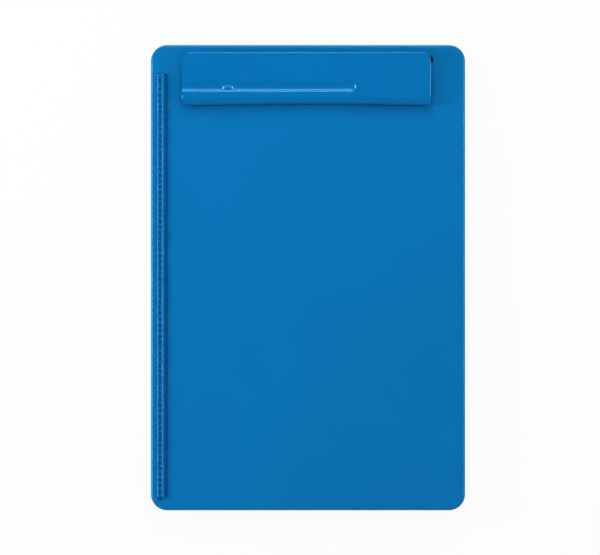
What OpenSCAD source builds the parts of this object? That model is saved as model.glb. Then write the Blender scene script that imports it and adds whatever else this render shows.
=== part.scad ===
// Slim storage clipboard box. The writing board is the hinged lid of a shallow tray. It carries
// a sprung lever clip, a raised paper edge with scale cells and a clasp on the open side.
// Millimetres. The origin is the centre of the footprint, on the table. +Z is up out of the
// writing face, +Y runs towards the clip and +X towards the clasp.

/* [Case] */
// Width of the case, across the sheet
case_w = 232; // [220:1:250]
// Length of the case, from its foot to the clip end
case_l = 343.5; // [330:0.5:370]
// Height from the table to the writing face
case_h = 22; // [21:0.5:35]
// Corner radius of the case, seen from above
corner_r = 12; // [9:0.5:15]
// Rounding of the outer edges, above and below
edge_r = 2; // [1:0.1:2.2]

/* [Tray] */
// Thickness of the tray's floor
floor_t = 2; // [1.5:0.1:3]
// Thickness of the collar that stands up inside the lid
collar_t = 1.6; // [1.2:0.1:2.2]
// Gap between the collar and the lid's skirt
collar_gap = 0.3; // [0.2:0.05:0.5]
// Gap between the collar's top and the lid's panel
collar_top_gap = 0.4; // [0.2:0.05:0.8]
// Thickness of the skins and ribs of the hinge rail, which is cored out from below
rail_skin = 2; // [1.2:0.1:2.4]

/* [Lid] */
// Thickness of the writing panel
lid_t = 2.4; // [2.2:0.1:3]
// Thickness of the lid's skirt
skirt_t = 2; // [1.6:0.1:2.6]
// Gap at the joint line between the skirt and the tray
joint_gap = 0.3; // [0.2:0.05:0.6]
// Widest opening of the lid, in degrees
lid_open = 115; // [95:1:118]

/* [Hinge] */
// Outer radius of the hinge knuckles
knuckle_r = 3.2; // [2.8:0.1:3.5]
// Number of knuckles, an odd number so that the tray has both end ones
knuckle_count = 9; // [5:2:11]
// Length of the row of knuckles
hinge_l = 318; // [280:1:320]
// Gap between neighbouring knuckles
knuckle_gap = 0.4; // [0.3:0.05:0.8]
// How far the knuckles stay inside the case's outline
knuckle_inset = 0.3; // [0.2:0.05:0.6]
// Gap between a knuckle and the lid's panel
knuckle_top_gap = 0.6; // [0.4:0.1:1]
// Gap between the lid's knuckles and the tray's wall
knuckle_side_gap = 0.7; // [0.5:0.1:1]
// Radius of the hinge rod
hinge_rod_r = 1.25; // [1:0.05:1.5]
// Outer radius of the caps on the rod's ends
rod_cap_r = 2.9; // [2.4:0.1:3.1]
// Length of a cap
rod_cap_l = 2.2; // [1.8:0.1:3]
// How far the rod reaches into a cap
rod_cap_grip = 1.5; // [1:0.1:1.6]

/* [Paper edge] */
// Distance of the paper edge from the case's left side
strip_inset = 4.3; // [3.8:0.1:5]
// Width of the paper edge
strip_w = 6.1; // [5.8:0.1:6.6]
// Height of the paper edge above the writing face
strip_h = 3; // [2.6:0.1:3.6]
// Distance of its upper end from the clip end of the case
strip_top = 22; // [18:0.5:26]
// Distance of its lower end from the foot of the case
strip_foot = 10.3; // [8:0.1:14]
// Depth of the channel that it is seated in
strip_seat = 0.6; // [0.4:0.1:1]
// Width of the outer rail
rail_out_w = 1.3; // [1:0.1:1.5]
// Width of the inner rail, which the sheet lies against
rail_in_w = 2.1; // [1.6:0.1:2.2]
// Bevel along the outer rail's top
bevel_out = 0.5; // [0.2:0.1:0.8]
// Bevel along the inner rail's top
bevel_in = 0.9; // [0.2:0.1:1.1]
// Length of the solid block at the paper edge's upper end
end_block = 3.2; // [2:0.1:5]
// Length of the solid block at its lower end
foot_block = 1.4; // [1:0.1:3]
// Depth of the trough between the rails
trough_d = 1.5; // [1.2:0.1:1.8]
// Distance from one scale cell to the next
cell_pitch = 4.233; // [3.5:0.001:5]
// Length of the bar between two cells
bar_l = 1.6; // [1.2:0.1:2.4]
// Height of a bar above the trough's floor
bar_h = 0.9; // [0.5:0.1:1.1]
// Length of the tongues that hold the ends in the lid
tongue_l = 3; // [2:0.1:4]
// Width of a tongue
tongue_w = 2.6; // [1.8:0.1:2.6]
// Open length of the slot past the upper end
slot_top = 1.2; // [0.5:0.1:2]
// Open length of the slot past the lower end, which the tongue goes in by before it slides home
slot_foot = 2.9; // [2:0.1:3.5]

/* [Clip lever] */
// Width of the lever
clip_w = 184.2; // [160:0.2:190]
// Depth of the lever, from its rear edge to the front of its lip
clip_d = 38.5; // [38:0.1:44]
// Place of the lever's middle to the right of the case's middle
clip_x = -1.4; // [-2:0.1:2]
// Distance of the rear edge from the clip end of the case
clip_rear = 5.25; // [3.5:0.05:7]
// Height of the lever's top above the writing face
clip_h = 11; // [10.8:0.1:14]
// Thickness of the lever's sheet
lever_t = 1; // [0.8:0.05:1.2]
// Outer radius of the roll at the lip
roll_r = 5.8; // [4.5:0.1:6.5]
// Height of the lip's edge above the writing face
lip_gap = 0.7; // [0.4:0.1:1.2]
// Corner radius at the lever's rear
rear_corner_r = 6.7; // [4:0.1:9]
// Corner radius at the ends of the lip
lip_corner_r = 3.5; // [2:0.1:4.5]
// Widest opening of the lever, in degrees
lever_open = 22; // [15:1:24]

/* [Pen groove] */
// Distance of the groove's middle from the front of the lip
groove_y = 12.8; // [12:0.1:14.5]
// Half of the groove's width
groove_half = 4; // [3:0.1:4.4]
// Depth of the groove
groove_d = 1.4; // [1:0.1:2.2]
// Length of the groove, from the lever's left end to the middle of its round end
groove_l = 126.3; // [90:0.1:140]
// Place of the pen nib, from the lever's left end
nib_x = 34.8; // [20:0.1:60]
// Radius of the ball that the nib is part of
nib_r = 3.2; // [2.6:0.1:3.6]
// Height of the nib above the groove's floor
nib_h = 1.2; // [0.8:0.1:1.4]

/* [Clip works] */
// Distance of the pivot from the front of the lip
pivot_y = 20.9; // [20.5:0.1:22]
// Height of the pivot above the writing face
pivot_h = 5; // [4.8:0.05:5.2]
// Radius of the pivot rod
pivot_rod_r = 1.5; // [1.2:0.05:1.7]
// Width of the base plate
base_w = 132; // [120:1:150]
// Thickness of the base plate
base_t = 1.2; // [1:0.05:1.3]
// Distance from the pivot forward to the base plate's front edge, which paper stops against
base_reach = 8.7; // [8.2:0.1:9.5]
// Distance from the lever's rear edge to the base plate's rear edge
base_rear = 2; // [1.5:0.1:4]
// Thickness of the stop flange at the base plate's rear edge
flange_t = 1.4; // [1:0.1:2]
// Half length of the ears' feet on the base plate
base_ear_foot = 5.5; // [4.5:0.1:6.5]
// Thickness of the base plate's ears
base_ear_t = 1.5; // [1.2:0.1:2]
// Radius of the ears' heads
base_ear_r = 3.4; // [3:0.1:3.6]
// Thickness of the lever bracket
bracket_t = 1; // [0.8:0.05:1.1]
// Thickness of the bracket's ears
bracket_ear_t = 1.2; // [1:0.1:1.6]
// Radius of the bracket ears' heads
bracket_ear_r = 3; // [2.6:0.1:3.4]
// Distance from the pivot back to the bracket's rear edge
bracket_reach = 9.5; // [8:0.1:11]
// Side gap between neighbouring ears
ear_gap = 1; // [0.5:0.1:1.5]
// Distance from an outer pair of ears to the inner pair
ear_span = 33.5; // [30:0.5:38]
// Thickness of the push-on rings at the rod's ends
ring_t = 1.2; // [0.8:0.1:1.6]
// Outer radius of those rings
ring_r = 3.2; // [2.6:0.1:3.6]
// Thickness of the backing plate inside the lid
backing_t = 1.2; // [1:0.1:1.6]
// Radius of the rivets' shanks
rivet_r = 1.6; // [1.3:0.05:1.8]
// Radius of the rivets' heads
rivet_head_r = 2.8; // [2.4:0.1:3]
// Height of the rivets' heads
rivet_head_h = 1.1; // [0.8:0.1:1.2]
// Half distance between the two front rivets
rivet_front_x = 12; // [8:0.5:18]
// Distance from the pivot forward to the front rivets
rivet_front_y = 5.2; // [4.8:0.1:5.6]
// Half distance between the two rear rivets
rivet_rear_x = 53; // [52:0.5:56]
// Distance from the pivot back to the rear rivets
rivet_rear_y = 9; // [8:0.1:9.5]
// Margin of the backing plate round the rivets
backing_margin = 3.5; // [3:0.1:5]
// Thickness of the rubber grip strip
grip_t = 2.4; // [1.6:0.1:2.6]
// Height of the grip strip
grip_h = 3.6; // [3:0.1:4.2]
// Distance from the lever's ends to the grip strip's ends
grip_end = 4; // [3.5:0.1:8]
// Gap between the grip strip and the writing face when no paper is in
grip_gap = 0.1; // [0.05:0.05:0.4]

/* [Clip springs] */
// Wire radius of the torsion springs
wire_r = 0.5; // [0.4:0.02:0.52]
// Radius of the coil, to the middle of the wire
coil_r = 3.15; // [2.8:0.05:3.2]
// Full turns of the coil
coil_turns = 10; // [6:1:11]
// Distance from one turn to the next
coil_pitch = 1.25; // [1.1:0.05:1.3]
// Length of the springs' legs
leg_l = 7.5; // [5:0.5:8]
// Gap between a coil and the bracket's ear beside it
coil_gap = 1; // [0.6:0.1:2]

/* [Clasp] */
// Width of the clasp
clasp_w = 46; // [36:1:60]
// Thickness of the clasp's plate
clasp_t = 1.6; // [1.4:0.1:1.8]
// Radius of the barrel that the clasp turns on
barrel_r = 1.8; // [1.6:0.05:1.9]
// Radius of the clasp's pin
pin_r = 0.8; // [0.6:0.05:0.9]
// Depth of the clasp's pocket in the case's side
pocket_d = 4.2; // [4:0.1:4.6]
// Wall behind the pocket, in the lid and in the tray
pocket_wall = 1.2; // [1:0.1:1.6]
// Thickness of the ears that hold the pin
pin_ear_t = 3.4; // [2.5:0.1:4]
// Height of the pocket's lower end above the table
pocket_foot = 2.6; // [2.4:0.1:3]
// Gap between the clasp and the pocket
clasp_gap = 0.3; // [0.25:0.05:0.5]
// Height of the clasp's lower end above the pocket's foot
clasp_lift = 1.6; // [1.2:0.1:2]
// Height of the hook on the clasp
hook_h = 1.2; // [0.8:0.1:1.4]
// How far the hook stands in from the plate
hook_d = 1.7; // [1.4:0.1:1.8]
// Height of the catch ridge on the tray
ridge_h = 1.4; // [1:0.1:1.6]
// How far the ridge stands out from the pocket's face
ridge_d = 1.3; // [1:0.1:1.5]
// Gap between the hook and the ridge above it
latch_play = 0.3; // [0.2:0.05:0.4]
// Slope on the ridge's upper edge
ridge_lead = 0.6; // [0.3:0.1:0.8]
// Distance from the pocket's ends to the ridge's ends
ridge_end = 5; // [3:0.5:8]
// Distance from the pocket's ends to the hook's ends
hook_end = 6; // [3:0.5:8]
// Height of the hook above the clasp's lower end
hook_lift = 0.8; // [0.6:0.1:1.2]
// Corner radius of the clasp's plate
clasp_corner_r = 2.5; // [1:0.1:4]
// Number of finger grooves across the clasp's lower part
finger_grooves = 4; // [2:1:5]
// Distance from one finger groove to the next
finger_pitch = 1.6; // [1.2:0.1:1.8]
// Depth of the finger grooves
finger_depth = 0.4; // [0.2:0.05:0.5]

/* [Cord hole] */
// Radius of the hole for a pen cord or a hook
hole_r = 3; // [2:0.1:3.4]
// Distance of its middle from the case's right side
hole_x = 26.5; // [20:0.1:32]
// Distance of its middle from the clip end of the case
hole_y = 11.1; // [8:0.1:14]

/* [Hidden] */
$fn = 72;

blue = [0, 0.46, 0.73];
blue_paint = [0, 0.46, 0.75];
zinc = [0.72, 0.73, 0.75];
steel = [0.6, 0.62, 0.65];
black_rubber = [0.08, 0.08, 0.09];

// Clearance all round a rod in its bore, or a shank in its hole
bore_gap = 0.05;
// Gap between the bracket and the skin of the pen groove
groove_clear = 0.5;
// Gap that is left at a stop at the end of a joint's travel
stop_gap = 0.35;
// Gap between a spring's leg and the plate that it presses on
leg_touch = 0.03;
// How far the pivot rod stands out past its rings
rod_end = 0.8;
// Overlap that makes a cut break cleanly through a face
cut = 1;

half_w = case_w / 2;
half_l = case_l / 2;
panel_z = case_h - lid_t;

// Hinge axis, and the ledge that the lid's rounded edge meets just past its widest opening
hinge_x = -half_w + knuckle_inset + knuckle_r;
hinge_z = panel_z - knuckle_top_gap - knuckle_r;
edge_low = (edge_r - knuckle_inset - knuckle_r) * sin(lid_open)
    + (case_h - edge_r - hinge_z) * cos(lid_open) - edge_r;
corner_low = -(knuckle_inset + knuckle_r) * sin(lid_open) + (panel_z - hinge_z) * cos(lid_open);
ledge_z = hinge_z + min(edge_low, corner_low) - stop_gap;
skirt_z = ledge_z + joint_gap;
knuckle_pitch = hinge_l / knuckle_count;
rail_x = hinge_x + knuckle_r + knuckle_side_gap;

// Collar of the tray
collar_x1 = half_w - skirt_t - collar_gap;
collar_y1 = half_l - skirt_t - collar_gap;
collar_z = panel_z - collar_top_gap;
collar_r = corner_r - skirt_t - collar_gap;

// Pocket and clasp
pocket_half = clasp_w / 2 + clasp_gap;
pocket_x = half_w - pocket_d;
lid_pocket_x = pocket_x - pocket_wall;
lid_pocket_half = pocket_half + pin_ear_t;
tray_pocket_x = lid_pocket_x - collar_gap - pocket_wall;
tray_pocket_half = lid_pocket_half + collar_gap + collar_t;
pin_x = pocket_x + clasp_gap + barrel_r;
pin_z = panel_z - barrel_r - 2 * clasp_gap;
pin_l = 2 * (lid_pocket_half - clasp_gap);
plate_x = pin_x + barrel_r - clasp_t;
clasp_z = pocket_foot + clasp_lift;
hook_z = clasp_z + hook_lift;
ridge_z = hook_z + hook_h + latch_play;

// Lever and its works
face_z = case_h;
lip_y = half_l - clip_rear - clip_d;
rear_y = half_l - clip_rear;
lever_z = face_z + clip_h;
pivot = [lip_y + pivot_y, face_z + pivot_h];
groove_r = (groove_half * groove_half + groove_d * groove_d) / (2 * groove_d);
groove_z = lever_z - groove_d + groove_r;
groove_out = sqrt(pow(groove_r + lever_t, 2) - pow(groove_r - groove_d + lever_t, 2));
base_y0 = pivot[0] - base_reach;
base_y1 = rear_y - base_rear;
flange_h = (clip_h - lever_t - pivot_h) / cos(lever_open)
    - (base_y1 - pivot[0]) * tan(lever_open) + pivot_h - stop_gap;
base_ear_x = base_w / 2 - 4;
bracket_ear_x = base_ear_x - base_ear_t / 2 - ear_gap - bracket_ear_t / 2;
bracket_y0 = lip_y + groove_y + groove_out + groove_clear;
bracket_y1 = pivot[0] + bracket_reach;
rivet_spots = [
    for (side = [-1, 1]) [side * rivet_front_x, pivot[0] - rivet_front_y],
    for (side = [-1, 1]) [side * rivet_rear_x, pivot[0] + rivet_rear_y],
];
rod_l = 2 * (base_ear_x + base_ear_t / 2 + 2 * bore_gap + ring_t + rod_end);

// Paper edge
strip_x = -half_w + strip_inset;
strip_y1 = half_l - strip_top;
strip_y0 = -half_l + strip_foot;
cells = floor((strip_y1 - end_block - strip_y0 - foot_block) / cell_pitch);
tongue_x = strip_x + rail_out_w + (strip_w - rail_out_w - rail_in_w - tongue_w) / 2;

// Rectangle of a given width and height on the X axis, with its two lower corners rounded
module foot_rounded(width, height, round_r) {
    translate([-width / 2, round_r]) square([width, height - round_r]);
    translate([-width / 2 + round_r, 0]) square([width - 2 * round_r, height]);
    for (side = [-1, 1]) translate([side * (width / 2 - round_r), round_r]) circle(round_r);
}

// Slab with the case's outline and its lower edges rounded
module case_slab(height) {
    rotate([90, 0, 0]) linear_extrude(case_l - 2 * corner_r, center = true)
        foot_rounded(case_w, height, edge_r);
    rotate([90, 0, 90]) linear_extrude(case_w - 2 * corner_r, center = true)
        foot_rounded(case_l, height, edge_r);
    for (sx = [-1, 1], sy = [-1, 1])
        translate([sx * (half_w - corner_r), sy * (half_l - corner_r), 0])
            rotate_extrude() {
                translate([0, edge_r]) square([corner_r, height - edge_r]);
                square([corner_r - edge_r, height]);
                translate([corner_r - edge_r, edge_r]) circle(edge_r);
            }
}

// Rectangle from x0 to x1 and to both sides of the X axis, with its own radius at each end
module end_rounded(x0, x1, half, r0, r1) {
    translate([x0 + r0, -half]) square([x1 - x0 - r0 - r1, 2 * half]);
    translate([x0, -half + r0]) square([r0, 2 * (half - r0)]);
    translate([x1 - r1, -half + r1]) square([r1, 2 * (half - r1)]);
    for (side = [-1, 1]) {
        translate([x0 + r0, side * (half - r0)]) circle(r0);
        translate([x1 - r1, side * (half - r1)]) circle(r1);
    }
}

// Block between two corners
module block(low, high) {
    translate(low) cube(high - low);
}

// Cylinder along Y, from y0 to y1
module rod_y(r, x, z, y0, y1) {
    translate([x, y0, z]) rotate([-90, 0, 0]) cylinder(r = r, h = y1 - y0);
}

// Cylinder along X through the lever's pivot, from x0 to x1
module rod_x(r, x0, x1) {
    translate([x0, pivot[0], pivot[1]]) rotate([0, 90, 0]) cylinder(r = r, h = x1 - x0);
}

// One knuckle of the hinge, and the places of the tray's and the lid's own ones
module knuckle_at(i) {
    rod_y(knuckle_r, hinge_x, hinge_z,
        -hinge_l / 2 + i * knuckle_pitch + knuckle_gap / 2,
        -hinge_l / 2 + (i + 1) * knuckle_pitch - knuckle_gap / 2);
}

module knuckle_web(i, low, high) {
    y0 = -hinge_l / 2 + i * knuckle_pitch + knuckle_gap / 2;
    block([low[0], y0, low[1]], [high[0], y0 + knuckle_pitch - knuckle_gap, high[1]]);
}

module hinge_bore() {
    rod_y(hinge_rod_r + bore_gap, hinge_x, hinge_z, -hinge_l / 2 - cut, hinge_l / 2 + cut);
}

// Pockets that core out the hinge rail from below, one under each knuckle
module rail_cores() {
    core_r = 1;
    for (i = [0 : knuckle_count - 1])
        block(
            [-half_w + rail_skin + core_r, -hinge_l / 2 + i * knuckle_pitch + rail_skin / 2, -cut],
            [rail_x - rail_skin / 2, -hinge_l / 2 + (i + 1) * knuckle_pitch - rail_skin / 2,
                ledge_z - rail_skin]);
}

module tray() {
    color(blue) {
        difference() {
            union() {
                case_slab(ledge_z);
                linear_extrude(collar_z)
                    end_rounded(rail_x, collar_x1, collar_y1, corner_r, collar_r);
                for (i = [0 : 2 : knuckle_count - 1]) {
                    knuckle_at(i);
                    knuckle_web(i, [hinge_x, hinge_z - knuckle_r],
                        [rail_x + collar_t / 2, hinge_z + knuckle_r - knuckle_inset]);
                }
            }
            translate([0, 0, floor_t]) linear_extrude(case_h) difference() {
                end_rounded(rail_x + collar_t, collar_x1 - collar_t, collar_y1 - collar_t,
                    corner_r - collar_t, collar_r - collar_t);
                translate([tray_pocket_x, -tray_pocket_half])
                    square([half_w, 2 * tray_pocket_half]);
            }
            block([lid_pocket_x - collar_gap, -lid_pocket_half - collar_gap, ledge_z],
                [half_w, lid_pocket_half + collar_gap, case_h]);
            block([pocket_x, -pocket_half, pocket_foot], [half_w + cut, pocket_half, case_h]);
            rail_cores();
            hinge_bore();
        }
        catch_ridge();
    }
}

// Ridge in the pocket that the clasp's hook goes under, with a sloped top
module catch_ridge() {
    root_x = pocket_x - pocket_wall / 2;
    tip_x = pocket_x + ridge_d;
    top_z = ridge_z + ridge_h;
    translate([0, pocket_half - ridge_end, 0]) rotate([90, 0, 0])
        linear_extrude(2 * (pocket_half - ridge_end))
            polygon([
                [root_x, ridge_z], [tip_x, ridge_z], [tip_x, top_z - ridge_lead],
                [tip_x - ridge_lead, top_z], [root_x, top_z],
            ]);
}

module hinge_rod() {
    reach = hinge_l / 2 - knuckle_gap / 2 + rod_cap_grip;
    color(steel) rod_y(hinge_rod_r, hinge_x, hinge_z, -reach, reach);
}

module hinge_rod_caps() {
    seat = hinge_l / 2 - knuckle_gap / 2 + bore_gap;
    color(blue) for (side = [0, 1]) mirror([0, side, 0]) difference() {
        rod_y(rod_cap_r, hinge_x, hinge_z, seat, seat + rod_cap_l);
        rod_y(hinge_rod_r + bore_gap, hinge_x, hinge_z, seat - cut, seat + rod_cap_grip);
    }
}

// Slots and channel that the paper edge is seated in
module strip_seats() {
    block([strip_x - bore_gap, strip_y0 - bore_gap, face_z - strip_seat],
        [strip_x + strip_w + bore_gap, strip_y1 + bore_gap, face_z + cut]);
    for (ends = [[strip_y0 - slot_foot, strip_y0 + foot_block + tongue_l],
                 [strip_y1 - foot_block - tongue_l, strip_y1 + slot_top]])
        block([tongue_x - bore_gap, ends[0], panel_z - cut],
            [tongue_x + tongue_w + bore_gap, ends[1] + bore_gap, face_z + cut]);
}

module lid() {
    color(blue) difference() {
        union() {
            difference() {
                translate([0, 0, case_h]) mirror([0, 0, 1]) case_slab(case_h - skirt_z);
                translate([0, 0, skirt_z - cut]) linear_extrude(panel_z - skirt_z + cut)
                    difference() {
                        end_rounded(-half_w + skirt_t, half_w - skirt_t, half_l - skirt_t,
                            corner_r - skirt_t, corner_r - skirt_t);
                        translate([lid_pocket_x, -lid_pocket_half])
                            square([half_w, 2 * lid_pocket_half]);
                    }
                block([-half_w - cut, -half_l - cut, skirt_z - cut], [hinge_x, half_l + cut, panel_z]);
            }
            for (i = [1 : 2 : knuckle_count - 1]) {
                knuckle_at(i);
                knuckle_web(i, [hinge_x - knuckle_r + knuckle_top_gap, hinge_z],
                    [hinge_x + knuckle_r - knuckle_top_gap, panel_z + lid_t / 2]);
            }
        }
        block([pocket_x, -pocket_half, skirt_z - cut], [half_w + cut, pocket_half, panel_z]);
        rod_y(pin_r + bore_gap, pin_x, pin_z, -pin_l / 2 - bore_gap, lid_pocket_half);
        // Groove in the skirt's inner face, along which the pin is pushed into its ears
        rod_y(pin_r + collar_gap, pin_x, pin_z, lid_pocket_half, lid_pocket_half + pin_l + cut);
        hinge_bore();
        strip_seats();
        translate([half_w - hole_x, half_l - hole_y, panel_z - cut])
            cylinder(r = hole_r, h = lid_t + 2 * cut);
        rivet_holes(panel_z - cut, face_z + cut);
    }
}

module paper_edge() {
    trough_z = face_z + strip_h - trough_d;
    trough_y1 = strip_y1 - end_block;
    first_bar = trough_y1 - (trough_y1 - strip_y0 - foot_block - cells * cell_pitch) - bar_l / 2;
    color(blue) {
        difference() {
            translate([strip_x, strip_y1, face_z]) rotate([90, 0, 0])
                linear_extrude(strip_y1 - strip_y0) polygon([
                    [0, -strip_seat], [strip_w, -strip_seat],
                    [strip_w, strip_h - bevel_in], [strip_w - bevel_in, strip_h],
                    [bevel_out, strip_h], [0, strip_h - bevel_out],
                ]);
            block([strip_x + rail_out_w, strip_y0 + foot_block, trough_z],
                [strip_x + strip_w - rail_in_w, trough_y1, face_z + strip_h + cut]);
        }
        for (i = [1 : cells - 1])
            block([strip_x + rail_out_w / 2, first_bar - i * cell_pitch, trough_z - bar_h],
                [strip_x + strip_w - rail_in_w / 2, first_bar - i * cell_pitch + bar_l,
                    trough_z + bar_h]);
        for (y0 = [strip_y0 + foot_block, strip_y1 - foot_block - tongue_l])
            block([tongue_x, y0, panel_z], [tongue_x + tongue_w, y0 + tongue_l, face_z]);
    }
}

module rivet_holes(z0, z1) {
    for (spot = rivet_spots)
        translate([clip_x + spot[0], spot[1], z0]) cylinder(r = rivet_r + bore_gap, h = z1 - z0);
}

// Ear standing up to the pivot, from a foot of the given half width
module ear(x, thick, head_r, foot_z, foot_y0, foot_y1) {
    translate([x - thick / 2, 0, 0]) rotate([90, 0, 90]) linear_extrude(thick) {
        translate(pivot) circle(head_r);
        polygon([[foot_y0, foot_z], [foot_y1, foot_z], pivot + [head_r, 0], pivot - [head_r, 0]]);
    }
}

module clip_base() {
    color(zinc) translate([clip_x, 0, 0]) difference() {
        union() {
            block([-base_w / 2, base_y0, face_z], [base_w / 2, base_y1, face_z + base_t]);
            block([-base_w / 2, base_y1 - flange_t, face_z],
                [base_w / 2, base_y1, face_z + flange_h]);
            for (side = [-1, 1], x = [base_ear_x, base_ear_x - ear_span])
                ear(side * x, base_ear_t, base_ear_r, face_z + base_t / 2,
                    pivot[0] - base_ear_foot, pivot[0] + base_ear_foot);
        }
        rod_x(pivot_rod_r + bore_gap, -base_w, base_w);
        translate([-clip_x, 0, 0]) rivet_holes(face_z - cut, face_z + base_t + cut);
    }
}

module backing_plate() {
    front = pivot[0] - rivet_front_y - backing_margin;
    rear = pivot[0] + rivet_rear_y + backing_margin;
    width = 2 * (rivet_rear_x + backing_margin);
    color(zinc) difference() {
        block([clip_x - width / 2, front, panel_z - backing_t], [clip_x + width / 2, rear, panel_z]);
        rivet_holes(panel_z - backing_t - cut, panel_z + cut);
    }
}

// Low dome on a flat base at z = 0
module dome(radius, height) {
    ball_r = (radius * radius + height * height) / (2 * height);
    intersection() {
        translate([0, 0, height - ball_r]) sphere(ball_r);
        cylinder(r = 2 * radius, h = 2 * height);
    }
}

module clip_rivets() {
    top = face_z + base_t;
    foot = panel_z - backing_t;
    color(steel) for (spot = rivet_spots) translate([clip_x + spot[0], spot[1], 0]) {
        translate([0, 0, foot]) cylinder(r = rivet_r, h = top - foot);
        translate([0, 0, top]) dome(rivet_head_r, rivet_head_h);
        translate([0, 0, foot]) mirror([0, 0, 1]) dome(rivet_head_r, rivet_head_h);
    }
}

module pivot_rod() {
    color(steel) translate([clip_x, 0, 0]) rod_x(pivot_rod_r, -rod_l / 2, rod_l / 2);
}

module rod_rings() {
    seat = base_ear_x + base_ear_t / 2 + bore_gap;
    color(zinc) for (side = [0, 1]) translate([clip_x, 0, 0]) mirror([side, 0, 0]) difference() {
        rod_x(ring_r, seat, seat + ring_t);
        rod_x(pivot_rod_r + bore_gap, seat - cut, seat + ring_t + cut);
    }
}

// Torsion spring: a lower leg on the base plate, the coil round the rod, an upper leg under the
// lever bracket. Points are [along the rod, y, z], counted from the pivot.
coil_steps = 20;
coil_l = (coil_turns + 0.5) * coil_pitch;
spring_x = base_ear_x - ear_span + base_ear_t / 2 + ear_gap + bracket_ear_t + coil_gap + wire_r;
leg_low = base_t - pivot_h + wire_r + leg_touch;
leg_high = clip_h - lever_t - bracket_t - pivot_h - wire_r - leg_touch;
spring_path = concat(
    [[0, leg_l, leg_low], [0, leg_l / 2, (leg_low - coil_r) / 2]],
    [for (i = [0 : (coil_turns + 0.5) * coil_steps])
        let (turn = i / coil_steps, a = 270 - 360 * turn)
            [turn * coil_pitch, coil_r * cos(a), coil_r * sin(a)]],
    [[coil_l, leg_l / 2, (leg_high + coil_r) / 2], [coil_l, leg_l, leg_high]]);
wire_sides = 8;

function unit(v) = v / norm(v);

// Ring of points round point i of a path, square to the path there
function ring(path, i, radius) =
    let (
        ahead = unit(path[min(i + 1, len(path) - 1)] - path[max(i - 1, 0)]),
        across = unit([1, 0, 0] - ahead[0] * ahead),
        up = cross(ahead, across))
    [for (k = [0 : wire_sides - 1])
        path[i] + radius * (cos(360 * k / wire_sides) * across + sin(360 * k / wire_sides) * up)];

module wire(path, radius) {
    last = len(path) - 1;
    polyhedron(
        points = [for (i = [0 : last]) each ring(path, i, radius)],
        faces = concat(
            [[for (k = [0 : wire_sides - 1]) k]],
            [[for (k = [wire_sides - 1 : -1 : 0]) last * wire_sides + k]],
            [for (i = [0 : last - 1], k = [0 : wire_sides - 1])
                let (next = (k + 1) % wire_sides, a = i * wire_sides, b = a + wire_sides)
                    [a + next, a + k, b + k, b + next]]),
        convexity = 8);
}

module spring(side) {
    color(steel) translate([clip_x, pivot[0], pivot[1]]) mirror([side, 0, 0])
        translate([spring_x, 0, 0]) wire(spring_path, wire_r);
}

module spring_left() { spring(1); }

module spring_right() { spring(0); }

module clasp_pin() {
    color(steel) rod_y(pin_r, pin_x, pin_z, -pin_l / 2, pin_l / 2);
}

// Round-ended bar that the pen groove and its skin are cut from
module groove_bar(radius, x0) {
    x1 = -clip_w / 2 + groove_l;
    translate([x0, lip_y + groove_y, groove_z]) rotate([0, 90, 0])
        cylinder(r = radius, h = x1 - x0);
    translate([x1, lip_y + groove_y, groove_z]) sphere(radius);
}

module clip_lever() {
    lip_top = lever_z - roll_r;
    skin_z = lever_z - lever_t / 2;
    floor_z = lever_z - groove_d;
    color(blue_paint) translate([clip_x, 0, 0]) {
        difference() {
            intersection() {
                union() {
                    rotate([90, 0, 90]) linear_extrude(clip_w, center = true) {
                        translate([lip_y + roll_r, lever_z - lever_t])
                            square([clip_d - roll_r, lever_t]);
                        translate([lip_y, face_z + lip_gap])
                            square([lever_t, lip_top - face_z - lip_gap]);
                        intersection() {
                            translate([lip_y + roll_r, lip_top]) difference() {
                                circle(roll_r);
                                circle(roll_r - lever_t);
                            }
                            translate([lip_y, lip_top]) square(roll_r);
                        }
                    }
                    intersection() {
                        groove_bar(groove_r + lever_t, -clip_w / 2);
                        block([-clip_w / 2, lip_y, face_z], [clip_w / 2, rear_y, skin_z]);
                    }
                }
                translate([0, rear_y, 0]) rotate([0, 0, 180]) translate([0, 0, face_z])
                    linear_extrude(clip_h) foot_rounded(clip_w, clip_d, rear_corner_r);
                translate([0, rear_y, face_z + lip_gap]) rotate([90, 0, 0])
                    linear_extrude(clip_d) foot_rounded(clip_w, clip_h, lip_corner_r);
            }
            groove_bar(groove_r, -clip_w / 2 - cut);
        }
        // Nib that keeps the pen from rolling out, pressed up from the groove's floor
        intersection() {
            translate([-clip_w / 2 + nib_x, lip_y + groove_y, floor_z + nib_h - nib_r])
                sphere(nib_r);
            block([-clip_w / 2, lip_y, floor_z - lever_t / 2], [clip_w / 2, rear_y, lever_z]);
        }
    }
}

module lever_bracket() {
    top = lever_z - lever_t;
    half = bracket_ear_x + bracket_ear_t / 2;
    color(zinc) translate([clip_x, 0, 0]) difference() {
        union() {
            block([-half, bracket_y0, top - bracket_t], [half, bracket_y1, top]);
            for (side = [-1, 1],
                 x = [bracket_ear_x, bracket_ear_x - ear_span + 2 * ear_gap + base_ear_t + bracket_ear_t])
                ear(side * x, bracket_ear_t, bracket_ear_r, top - bracket_t / 2,
                    bracket_y0, pivot[0] + 1.5 * bracket_ear_r);
        }
        rod_x(pivot_rod_r + bore_gap, -base_w, base_w);
    }
}

module grip_strip() {
    half = clip_w / 2 - grip_end;
    color(black_rubber) block(
        [clip_x - half, lip_y + lever_t, face_z + grip_gap],
        [clip_x + half, lip_y + lever_t + grip_t, face_z + grip_h]);
}

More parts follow.
